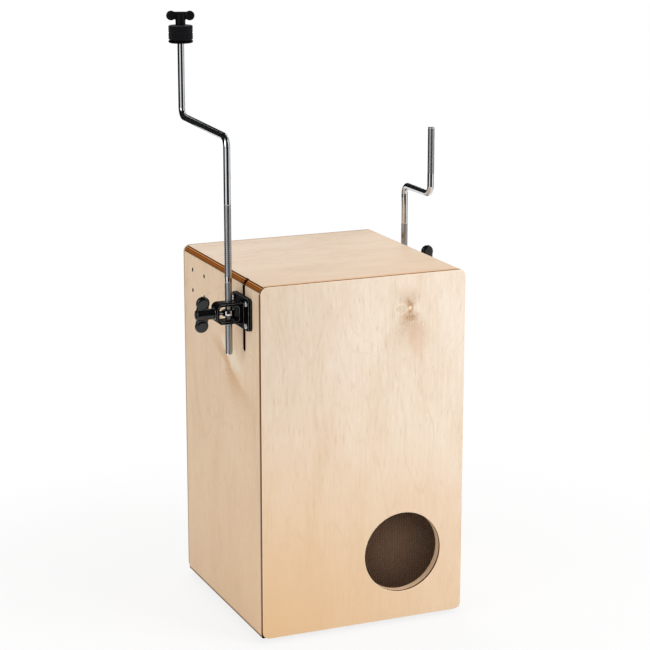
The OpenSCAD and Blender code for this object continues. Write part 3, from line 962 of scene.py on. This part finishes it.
@dataclass
class PlywoodBox:
    """Box of plywood panels between thin front and rear plates, on rubber feet."""

    width: float = 300 * MM
    depth: float = 305 * MM
    floor_gap: float = 8 * MM
    top: float = 500 * MM
    panel: float = 10 * MM
    plate: float = 4.5 * MM
    rounding: float = 10 * MM
    panel_edge: float = 0.3 * MM
    side_edge: float = 0.15 * MM
    plate_edge: float = 0.5 * MM
    batten_edge: float = 0.8 * MM
    # Widths of the painted edge strips: on the top, on the sides, and above the floor gap along the sides'
    # bottom.
    top_strip: float = 11 * MM
    side_strip: float = 3.2 * MM
    bottom_strip: float = 2.4 * MM
    spare: Pair = (90 * MM, 456 * MM)
    panel_layers: Layers = sheet(
        0.985, (0.08, (72, 30, 4)), (0.17, (230, 152, 76)), (0.29, (66, 26, 4)), (0.38, (212, 126, 58)),
        (0.50, (60, 24, 4)), (0.58, (200, 122, 52)), (0.69, (58, 24, 4)), (0.80, (255, 230, 196)))
    # The side panels' cut layers are all dark brown: painted shade inside the groove and the spare holes,
    # over the ply's own brown.
    shaded_cut_layers: Layers = sheet(0.985, (0.03, (50, 23, 10)))
    front_layers: Layers = sheet(0.98, (0.06, (122, 66, 8)), (0.40, (156, 90, 22)), (0.62, (112, 58, 6)))
    rear_layers: Layers = sheet(
        0.98, (0.06, (222, 196, 166)), (0.40, (236, 212, 182)), (0.62, (214, 186, 154)))
    top_tones: Tones = ((224, 195, 166), (240, 216, 190), (247, 227, 205))
    side_tones: Tones = ((233, 198, 160), (246, 216, 182), (251, 225, 194))
    # The top's edge strip is lighter orange, as painted light; the sides' strip stays dark brown, as painted
    # shade.
    lit_top_strip: Rgb = (230, 178, 124)
    curl: Knot = Knot(-26 * MM, 366 * MM, 9 * MM, 1.5, 40 * MM, 66 * MM, 1.3, 0.9, (216, 166, 112))
    eye: Knot = Knot(66 * MM, 453 * MM, 6 * MM, 0.8, 34 * MM, 66 * MM, -0.05, 0.74, has_eye=True)

    def dress(self) -> None:
        """Gives every piece of the box its finish."""
        self._panels()
        self._plates()
        for name in ("top", "bottom"):
            dress(f"rear_{name}_batten", RawWood("level_batten_wood", Axis.X), self.batten_edge)
        for side in Side:
            dress(f"rear_{side.node('batten')}", RawWood("upright_batten_wood", Axis.Z), self.batten_edge)
        for end in ("front", "rear"):
            for side in Side:
                dress(f"{end}_{side.node('foot')}", RUBBER, SOFT_EDGE)
        for screws in ("rear_plate_screws", "foot_screws"):
            dress(screws, ZINC, BOLT_EDGE)

    def _panels(self) -> None:
        """Dresses the top, bottom and side panels."""
        half, ends = self.width / 2, self.depth / 2 - self.plate
        top = Veneer(
            "top_ply", Axis.X, Axis.Z, self.top, -1, self.panel, self.panel_layers, 2.0, self.top_tones,
            front_tint=0.36, half_length=half, rounding=self.rounding, edge_strip_from=ends - self.top_strip,
            edge_strip_blur=9 * MM, second_tone=self.lit_top_strip)
        bottom = Veneer(
            "bottom_ply", Axis.X, Axis.Z, self.floor_gap, 1, self.panel, self.panel_layers, 31.0)
        dress("top_panel", top, self.panel_edge)
        dress("bottom_panel", bottom, self.panel_edge)
        for side, seed, knots in ((Side.LEFT, 47.0, (self.curl,)), (Side.RIGHT, 71.0, ())):
            panel = Veneer(
                side.node("ply"), Axis.Z, Axis.X, side.value * half, -side.value, self.panel,
                self.shaded_cut_layers, seed, self.side_tones, knots, low_tint=0.5,
                sill=self.floor_gap + self.bottom_strip, edge_strip_from=ends - self.side_strip,
                spare=(-side.value * self.spare[0], self.spare[1]))
            dress(side.node("side_panel"), panel, self.side_edge)

    def _plates(self) -> None:
        """Dresses the front plate and the rear plate that is struck."""
        half = self.depth / 2
        # Pale wood on the front plate's broken edges and the port's rim: a painted highlight along them.
        painted_highlight = RawWood("rubbed_edge", Axis.Z, (255, 240, 218), (250, 226, 194))
        front = Veneer(
            "front_ply", Axis.Z, Axis.Y, -half, 1, self.plate, self.front_layers, 90.0, knots=(self.eye,),
            low_tint=0.75, tint_lean=1.6, left_tint=0.3)
        rear = Veneer(
            "rear_ply", Axis.Z, Axis.Y, half, -1, self.plate, self.rear_layers, 113.0, low_tint=0.4)
        dress("front_plate", front, self.plate_edge, painted_highlight)
        dress("rear_plate", rear, self.plate_edge)


@dataclass
class SoundPort:
    """Round port with a wooden ring behind the front plate, and woven wire behind the ring."""

    centre_x: float = 59 * MM
    centre_z: float = 105 * MM
    inner: float = 59.5 * MM
    outer: float = 70.5 * MM
    half: float = 0.5 * MM
    side: float = 0.15 * MM
    bevel: float = 1 * MM
    steps: int = 128
    reach: float = 64 * MM
    wire_y: float = -137.5 * MM
    pitch: float = 2.6 * MM
    wire: float = 0.5 * MM
    wave: float = 0.42 * MM

    def build(self) -> None:
        """Dresses the ring and the staples, and weaves the wire."""
        # The ring's wood is painted brighter than its own colour: painted light on its shaded inner wall.
        dress("port_ring", RawWood("ring_wood", Axis.X, (255, 226, 192), (244, 204, 164)), SOFT_EDGE)
        dress("mesh_staples", ZINC, STAPLE_EDGE)
        draft = Draft()
        count = int(self.reach / self.pitch)
        for upright in (False, True):
            for number in range(-count, count + 1):
                draft.tube(self._strand(number, upright))
        draft.tube(self._rim(), closed=True)
        place_piece(draft.piece("woven_port_mesh", WIRE), "cajon", "mesh", "port_mesh")

    def _strand(self, number: int, upright: bool) -> Iterator[Ring]:
        """Draws one wire that passes over and under its neighbours.

        Args:
            number: Place of the wire, counted from the middle.
            upright: Whether it stands upright or lies level.

        Returns:
            The wire's rings, of four points each.
        """
        offset = number * self.pitch
        half = math.sqrt(max(self.reach ** 2 - offset ** 2, 0.0))
        steps = max(2, int(2 * half / (self.pitch / 3)))
        turn = math.pi * (number + int(upright))
        for step in range(steps + 1):
            run = -half + 2 * half * step / steps
            y = self.wire_y + self.wave * math.cos(math.pi * run / self.pitch + turn)
            ring = []
            for side, out in circle(4, 0.5):
                beside = offset + self.wire * side
                u, v = (beside, run) if upright else (run, beside)
                ring.append((self.centre_x + u, y + self.wire * out, self.centre_z + v))
            yield ring

    def _rim(self) -> Iterator[Ring]:
        """Draws the pressed rim that the staples hold.

        Returns:
            The rim's rings, once round the port.
        """
        front = [(self.inner, -self.side), (self.inner + self.bevel, -self.half),
                 (self.outer - self.bevel, -self.half), (self.outer, -self.side)]
        profile = front + [(radius, -y) for radius, y in reversed(front)]
        for x, z in circle(self.steps):
            yield [(self.centre_x + r * x, self.wire_y + y, self.centre_z + r * z) for r, y in profile]


@dataclass
class RodClamp:
    """Clamp on one side of the box: bracket, eye bolt and wing nut."""

    side: Side
    edge: float = 0.8 * MM
    rod_gap: float = 5.05 * MM
    slot: float = 1.6 * MM
    shank: float = 3 * MM
    thread: float = 1 * MM
    thread_depth: float = 0.3 * MM
    thread_steps: int = 5
    fullness: float = 0.75
    eye_steps: int = 72
    sides: int = 24

    def build(self) -> None:
        """Dresses the clamp's pieces, forges its eye bolt and casts its wing nut."""
        node = self.side.node
        dress(node("gasket"), RUBBER, SOFT_EDGE)
        # The bracket's broken edges carry the painted highlight.
        dress(node("bracket"), CASTING, self.edge, CASTING_EDGE_HIGHLIGHT)
        dress(node("bracket_bolts"), BRIGHT_ZINC, BOLT_EDGE)
        dress(node("bracket_nuts"), ZINC, BOLT_EDGE)
        dress(node("wing_washer"), ZINC, THIN_EDGE)
        dress(node("rod_bushes"), NYLON, THIN_EDGE)
        self._eye_bolt()
        nut = cast_copy(node("wing_nut"), node("cast_wing_nut"), WING_COAT, voxel=0.45 * MM, passes=14)
        place_piece(nut, node("wing_nut"), "black_wing", node("wing_nut"))

    def _eye_bolt(self) -> None:
        """Forges the slotted eye, which has a rounded section, and the threaded shank."""
        name = self.side.node("eye_bolt")
        low, high = (Vector(corner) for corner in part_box(name))
        centre = (low + high) / 2
        centre.x = joint_place(self.side.node("rod_swing")).x
        outer, height = (high.y - low.y) / 2, (high.z - low.z) / 2
        middle, half = (outer + self.rod_gap) / 2, (outer - self.rod_gap) / 2
        fuller = self._fuller
        section = [(middle + half * fuller(x), height * fuller(z)) for x, z in circle(self.sides)]
        eye = []
        for x, y in circle(self.eye_steps):
            shift = self.slot if x > 0 else 0.0
            eye.append([(radius * x + shift, radius * y, level) for radius, level in section])
        begin, tip = self.slot + middle, max(abs(low.x - centre.x), abs(high.x - centre.x))
        steps = int((tip - begin) / (self.thread / self.thread_steps))
        draft = Draft()
        draft.tube(eye, closed=True)
        places = [begin + (tip - begin) * step / steps for step in range(steps + 1)]
        draft.tube([self._thread(place) for place in places], capped=True)
        out = self.side.value
        draft.points = [(centre.x + out * x, centre.y + out * y, centre.z + z) for x, y, z in draft.points]
        place_piece(draft.piece(self.side.node("forged_eye_bolt"), CHROME), name, "chrome", name)

    def _thread(self, along: float) -> Ring:
        """Draws one ring of the threaded shank.

        Args:
            along: Its distance from the rod's middle.

        Returns:
            The ring's points.
        """
        ring = []
        for k, (y, z) in enumerate(circle(self.sides)):
            groove = abs(2 * ((along / self.thread + k / self.sides) % 1.0) - 1)
            radius = self.shank - groove * self.thread_depth
            ring.append((along, radius * y, radius * z))
        return ring

    def _fuller(self, part: float) -> float:
        """Swells a circle's coordinate towards a square's."""
        return math.copysign(abs(part) ** self.fullness, part)


class Station(NamedTuple):
    """Middle, direction, radius and knurling of one ring of a rod."""

    middle: Vector
    forward: Vector
    radius: float
    is_knurled: bool = False


@dataclass
class CrankedRod:
    """Round rod with two bends in one upright plane, and knurled lengths on its upright legs."""

    name: str
    foot: Vector
    heading: float
    low: float
    leg_z: float
    leg: float
    top: float
    knurled: Tuple[Pair, ...]
    stud_top: Optional[float] = None
    radius: float = 4.75 * MM
    bend: float = 13 * MM
    bend_steps: int = 14
    chamfer: float = 1 * MM
    stud: float = 3 * MM
    stud_chamfer: float = 0.5 * MM
    shoulder: float = 0.01 * MM
    sides: int = 60
    ridges: int = 20
    ridge_depth: float = 0.18 * MM
    ridge_pitch: float = 2.6 * MM
    ridge_crest: float = 0.45
    spacing: float = 0.65 * MM
    margin: float = 0.9 * MM
    plain: float = 0.4 * MM
    seam: float = 0.05 * MM

    def build(self) -> None:
        """Sweeps the rod along its path, with its knurled lengths as the second material."""
        stations = list(self._stations())
        rings = [self._ring(station) for station in stations]
        draft = Draft()
        draft.tube([[point for point, _ in ring] for ring in rings], capped=True)
        piece = draft.piece(f"{self.name}_swept", CHROME, KNURL)
        valley = piece.data.attributes.new("valley", "FLOAT", "POINT")
        valley.data.foreach_set("value", [dip for ring in rings for _, dip in ring])
        numbers = []
        for here, there in zip(stations, stations[1:]):
            numbers += [int(here.is_knurled and there.is_knurled)] * self.sides
        polygons = piece.data.polygons
        polygons.foreach_set("material_index", numbers + [0, 0])
        for end in polygons[-2:]:
            end.use_smooth = False
        place_piece(piece, self.name, "chrome", self.name)

    def _stations(self) -> Iterator[Station]:
        """Walks along the rod.

        Returns:
            The rod's rings, from the lower end up.
        """
        ahead = Vector((math.sin(self.heading), math.cos(self.heading), 0))
        base = Vector((self.foot.x, self.foot.y, 0))
        far = base + ahead * self.leg
        yield Station(base + UP * self.low, UP, self.radius - self.chamfer)
        yield from self._upright(base, self.low + self.chamfer, self.leg_z - self.bend)
        yield from self._bend(base + ahead * self.bend + UP * (self.leg_z - self.bend), UP, -ahead)
        yield from self._bend(far - ahead * self.bend + UP * (self.leg_z + self.bend), ahead, -UP)
        yield from self._upright(far, self.leg_z + self.bend, self.top - self.chamfer)
        yield Station(far + UP * self.top, UP, self.radius - self.chamfer)
        if self.stud_top:
            yield Station(far + UP * (self.top + self.shoulder), UP, self.stud)
            yield Station(far + UP * (self.stud_top - self.stud_chamfer), UP, self.stud)
            yield Station(far + UP * self.stud_top, UP, self.stud - self.stud_chamfer)

    def _upright(self, base: Vector, low: float, high: float) -> Iterator[Station]:
        """Walks up an upright leg, in small steps where it is knurled.

        Args:
            base: Point on the floor under the leg.
            low: Height of its lower end.
            high: Height of its upper end.

        Returns:
            The leg's rings.
        """
        levels = [(level, False) for level in (low, low + self.plain, high - self.plain, high)]
        for start, end in self.knurled:
            if start >= low - self.spacing and end <= high + self.spacing:
                start, end = max(start, low + self.margin), min(end, high - self.margin)
                count = max(2, int((end - start) / self.spacing))
                levels += [(start + (end - start) * k / count, True) for k in range(count + 1)]
                for gap in (self.plain, self.seam):
                    levels += [(start - gap, False), (end + gap, False)]
        for level, is_knurled in sorted(levels):
            yield Station(base + UP * level, UP, self.radius, is_knurled)

    def _bend(self, centre: Vector, start: Vector, outwards: Vector) -> Iterator[Station]:
        """Walks round a quarter bend.

        Args:
            centre: Middle of the bend.
            start: Direction of travel at its start.
            outwards: Direction from the middle to its start.

        Returns:
            The bend's rings.
        """
        for step in range(self.bend_steps + 1):
            angle = math.pi / 2 * step / self.bend_steps
            arm = outwards * math.cos(angle) + start * math.sin(angle)
            forward = start * math.cos(angle) - outwards * math.sin(angle)
            yield Station(centre + arm * self.bend, forward, self.radius)

    def _ring(self, station: Station) -> List[Tuple[Point, float]]:
        """Draws one ring of points.

        Args:
            station: What the ring is like.

        Returns:
            Each point, and its depth in the knurling from 0 to 1.
        """
        across = Vector((math.cos(self.heading), -math.sin(self.heading), 0))
        over = station.forward.cross(across)
        ring = []
        for number, (x, y) in enumerate(circle(self.sides)):
            dip = 0.0
            if station.is_knurled:
                turn, run = number / self.sides, station.middle.z / self.ridge_pitch
                slants = [abs(2 * ((self.ridges * turn + way * run) % 1.0) - 1) for way in (-1, 1)]
                dip = max(0.0, (max(slants) - self.ridge_crest) / (1.0 - self.ridge_crest))
            reach = station.radius - dip * self.ridge_depth
            ring.append((tuple(station.middle + across * (reach * x) + over * (reach * y)), dip))
        return ring


@dataclass
class CymbalSeat:
    """Cup washer, two felts and a wing nut on the cymbal rod's stud."""

    radius: float = 17 * MM
    hole: float = 5.8 * MM
    edge: float = 1.3 * MM
    inset: float = 0.02 * MM
    lip: float = 1 * MM
    sides: int = 120
    face_steps: int = 6
    edge_steps: int = 8

    def build(self) -> None:
        """Dresses the cup washer and the sleeve, presses the felts and casts the wing nut."""
        dress("cymbal_cup_washer", CASTING, SOFT_EDGE)
        dress("cymbal_sleeve", NYLON, THIN_EDGE)
        for node, body in (("lower_felt", "cymbal_rod"), ("upper_felt", "upper_felt")):
            self._felt(node, body)
        nut = cast_copy("cymbal_wing_nut", "cast_cymbal_wing_nut", CAP_COAT, voxel=0.4 * MM, passes=12)
        place_piece(nut, "cymbal_wing_nut", "black_wing", "cymbal_wing_nut")

    def _felt(self, node: str, body: str) -> None:
        """Presses one felt: a round-edged disc with an uneven, fibrous face.

        Args:
            node: CAD node that it stands for.
            body: Body that it moves with.
        """
        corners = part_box(node)
        axis = (Vector(corners[0]) + Vector(corners[1])) / 2
        profile = self._profile(corners[0][2] + self.inset, corners[1][2] - self.inset)
        rings = []
        for x, y in circle(self.sides):
            ring = []
            for radius, level in profile:
                spot = Vector((radius * x, radius * y, level))
                if radius > self.hole + self.lip:
                    fuzz = noise.noise(spot * 900.0) * 0.10 + noise.noise(spot * 260.0) * 0.14
                    radius += (fuzz - 0.12) * MM
                ring.append((axis.x + radius * x, axis.y + radius * y, level))
            rings.append(ring)
        draft = Draft()
        draft.tube(rings, closed=True)
        piece = draft.piece(f"pressed_{node}", FELT)
        place_piece(piece, body, "felt", node)

    def _profile(self, low: float, high: float) -> List[Pair]:
        """Draws the felt's section.

        Args:
            low: Height of its lower face.
            high: Height of its upper face.

        Returns:
            Radius and height of each corner, once round.
        """
        rim = self.radius - self.edge
        radii = [self.hole + (rim - self.hole) * k / self.face_steps for k in range(1, self.face_steps + 1)]
        section = [(self.hole, high), (self.hole, low)]
        section += [(radius, low) for radius in radii]
        for middle, start in ((low + self.edge, -90), (high - self.edge, 0)):
            for step in range(1, self.edge_steps):
                angle = math.radians(start + 90 * step / self.edge_steps)
                section.append((rim + self.edge * math.cos(angle), middle + self.edge * math.sin(angle)))
        return section + [(radius, high) for radius in reversed(radii)]


@dataclass(frozen=True)
class SoftBox:
    """Square studio lamp that faces a point."""

    name: str
    place: Point
    target: Point
    size: float
    watts: float
    is_mirrored: bool = False

    def light(self) -> None:
        """Adds the lamp."""
        lamp = bpy.data.lights.new(self.name, "AREA")
        lamp.shape, lamp.size, lamp.energy = "SQUARE", self.size, self.watts
        piece = add_object(self.name, lamp)
        piece.location = self.place
        piece.visible_glossy = self.is_mirrored
        aim = Vector(self.target) - Vector(self.place)
        piece.rotation_euler = aim.to_track_quat("-Z", "Y").to_euler()
        LOG.info("lit %s", self.name)


def hide_card(card: bpy.types.Object) -> None:
    """Leaves a dark card in the reflections alone.

    Args:
        card: The card.
    """
    card.visible_camera = card.visible_diffuse = card.visible_shadow = False
    card.visible_transmission = card.visible_volume_scatter = False


@dataclass(frozen=True)
class Flag:
    """Dark card that stands round the object and shows only in shiny surfaces.

    Its ends are angles from the camera's side of the object, counted to the right.
    """

    name: str
    start: float
    end: float
    distance: float
    bottom: float = 0.0
    top: float = 3.2
    steps: int = 8

    def stand(self, camera_angle: float) -> None:
        """Stands the card on the floor.

        Args:
            camera_angle: Direction from the object to the camera, in degrees.
        """
        draft = Draft(faces=[(2 * k, 2 * k + 2, 2 * k + 3, 2 * k + 1) for k in range(self.steps)])
        for step in range(self.steps + 1):
            angle = math.radians(camera_angle + self.start + (self.end - self.start) * step / self.steps)
            x, y = self.distance * math.cos(angle), self.distance * math.sin(angle)
            draft.points += [(x, y, self.bottom), (x, y, self.top)]
        hide_card(draft.piece(self.name, RUBBER))


@dataclass
class Studio:
    """Pale floor, white surround, soft boxes, dark cards and the camera."""

    surround: float = 0.42
    camera_place: Point = (-1.1079, -2.6185, 1.1061)
    azimuth: float = -23.054
    elevation: float = 13.926
    lens: float = 114.947
    sensor: float = 36.0
    clip: Pair = (0.05, 100.0)
    lamps: Tuple[SoftBox, ...] = (
        SoftBox("key_box", (1.5, -1.9, 1.7), (0, 0, 0.3), 1.5, 43.0),
        SoftBox("fill_box", (-2.6, -0.6, 1.6), (0, 0, 0.3), 1.6, 20.0, True),
        SoftBox("back_box", (0.4, 2.4, 2.2), (0, 0, 0.4), 1.8, 30.0, True),
    )
    flags: Tuple[Flag, ...] = (
        Flag("front_card", -18, 54, 1.5),
        Flag("left_card", -128, -60, 1.1),
        Flag("high_left_card", -184, -128, 1.1, 0.36),
        Flag("right_card", 100, 124, 1.3),
    )
    ceiling: float = 3.0
    ceiling_reach: float = 1.6
    floor_reach: float = 20.0

    def build(self) -> None:
        """Sets up the whole studio."""
        self._square("floor", self.floor_reach, 0.0, (0, 1, 2, 3), FLOOR)
        self._world()
        for lamp in self.lamps:
            lamp.light()
        camera_angle = math.degrees(math.atan2(self.camera_place[1], self.camera_place[0]))
        for flag in self.flags:
            flag.stand(camera_angle)
        hide_card(self._square("ceiling_card", self.ceiling_reach, self.ceiling, (3, 2, 1, 0), RUBBER))
        self._camera()
        bpy.context.scene.view_settings.view_transform = "Standard"

    @staticmethod
    def _square(name: str, reach: float, level: float, face: Tuple[int, ...],
                finish: Finish) -> bpy.types.Object:
        """Lays a level square by its half width, its height and the order of its corners."""
        corners = [(reach * x, reach * y, level) for x, y in ((-1, -1), (1, -1), (1, 1), (-1, 1))]
        return Draft(corners, [face]).piece(name, finish)

    def _world(self) -> None:
        """Surrounds the object with white, seen at full strength and lighting at a plain level."""
        world = bpy.data.worlds.new("surround")
        world.use_nodes = True
        bpy.context.scene.world = world
        graph = Graph(world.node_tree)
        strength = self.surround + graph.seen() * (1.0 - self.surround)
        back = graph.add("ShaderNodeBackground", {}, {"Color": WHITE, "Strength": strength})
        graph.finish(back, "ShaderNodeOutputWorld")

    def _camera(self) -> None:
        """Stands the camera where the photograph was taken from."""
        lens = bpy.data.cameras.new("camera")
        lens.lens, lens.sensor_width = self.lens, self.sensor
        lens.clip_start, lens.clip_end = self.clip
        camera = add_object("camera", lens)
        camera.location = self.camera_place
        camera.rotation_euler = Euler((math.radians(90 - self.elevation), 0, math.radians(self.azimuth)))
        bpy.context.scene.camera = camera


def main() -> None:
    """Builds and dresses every sub-assembly."""
    logging.basicConfig(level=logging.INFO, format="%(name)s: %(message)s")
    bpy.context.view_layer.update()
    Studio().build()
    PlywoodBox().dress()
    SoundPort().build()
    for side in Side:
        RodClamp(side).build()
    CrankedRod(
        "cymbal_rod", joint_place("left_rod_swing"), heading=math.radians(3.3), low=398 * MM, leg_z=691 * MM,
        leg=212 * MM, top=793 * MM, knurled=((399.2 * MM, 497.5 * MM), (504.5 * MM, 602 * MM)),
        stud_top=829.1 * MM).build()
    CrankedRod(
        "percussion_rod", joint_place("right_rod_swing"), heading=math.pi, low=399 * MM, leg_z=575 * MM,
        leg=86 * MM, top=672 * MM, knurled=((400.2 * MM, 518 * MM), (605 * MM, 670.8 * MM))).build()
    CymbalSeat().build()


if __name__ == "__main__":
    main()
